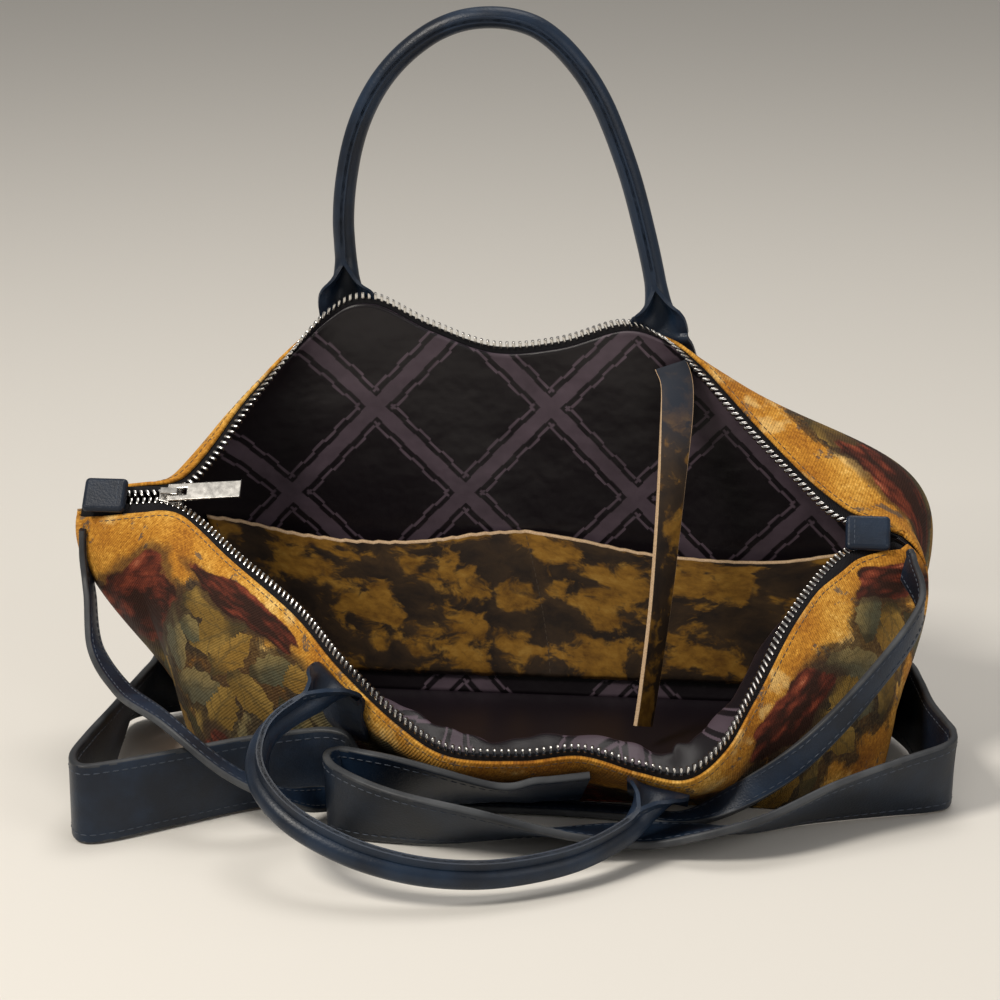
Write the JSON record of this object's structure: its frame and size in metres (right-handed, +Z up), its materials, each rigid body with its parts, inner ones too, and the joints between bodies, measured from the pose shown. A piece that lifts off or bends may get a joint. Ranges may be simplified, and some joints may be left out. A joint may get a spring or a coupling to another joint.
{
  "type": "backpack",
  "caption": "Soft tapestry tote backpack with leather handles and shoulder straps, standing on its base with the zip mouth open and the lining showing.",
  "frame": {"origin": "middle of the base panel, on the surface that the bag stands on", "axes": "+X to the bag's right in the picture, +Y to its back, +Z up"},
  "size_m": [0.4063, 0.2553, 0.3333],
  "materials": {
    "tapestry": "woven floral tapestry",
    "lining_satin": "dark satin with a woven lattice",
    "printed_leather": "printed leather with a pale cut edge",
    "zip_tape": "black woven tape",
    "zip_metal": "polished nickel",
    "navy_leather": "navy grained leather with stitching"
  },
  "bodies": {
    "bag": {"front_panel": "tapestry", "back_panel": "tapestry", "base_panel": "tapestry", "lining_front": "lining_satin", "lining_back": "lining_satin", "lining_base": "lining_satin", "pocket": "printed_leather", "hanging_strip": "printed_leather", "zip_tape_front": "zip_tape", "zip_tape_back": "zip_tape", "zip_teeth_front": "zip_metal", "zip_teeth_back": "zip_metal", "zip_cap_left": "navy_leather", "zip_cap_right": "navy_leather", "handle_tab_back_left": "navy_leather", "handle_tab_back_right": "navy_leather", "handle_tab_front_left": "navy_leather", "handle_tab_front_right": "navy_leather", "shoulder_strap_left": "navy_leather", "shoulder_strap_right": "navy_leather", "cross_strap": "navy_leather"},
    "back_handle": {"handle_back": "navy_leather"},
    "front_handle": {"handle_front": "navy_leather"},
    "slider": {"zip_slider": "zip_metal"},
    "pull": {"zip_pull": "zip_metal"}
  },
  "joints": [
    {"name": "back_handle_swing", "type": "hinge", "parent": "bag", "child": "back_handle", "pos_m": [-0.02244, 0.0536, 0.18895], "axis": [0.9977, 0.0224, -0.0635], "range_deg": [-145, 10]},
    {"name": "front_handle_swing", "type": "hinge", "parent": "bag", "child": "front_handle", "pos_m": [-0.01017, -0.09792, 0.04056], "axis": [-0.9605, 0.1258, 0.2483], "range_deg": [0, 85]},
    {"name": "zip_slider_slide", "type": "slide", "parent": "bag", "child": "slider", "axis": [0.9999, 0, 0.0148], "range_m": [-0.0045, 0]},
    {"name": "zip_pull_flip", "type": "hinge", "parent": "slider", "child": "pull", "pos_m": [-0.17026, -0.00391, 0.11857], "axis": [0.0105, -0.7071, -0.707], "range_deg": [0, 150]}
  ]
}
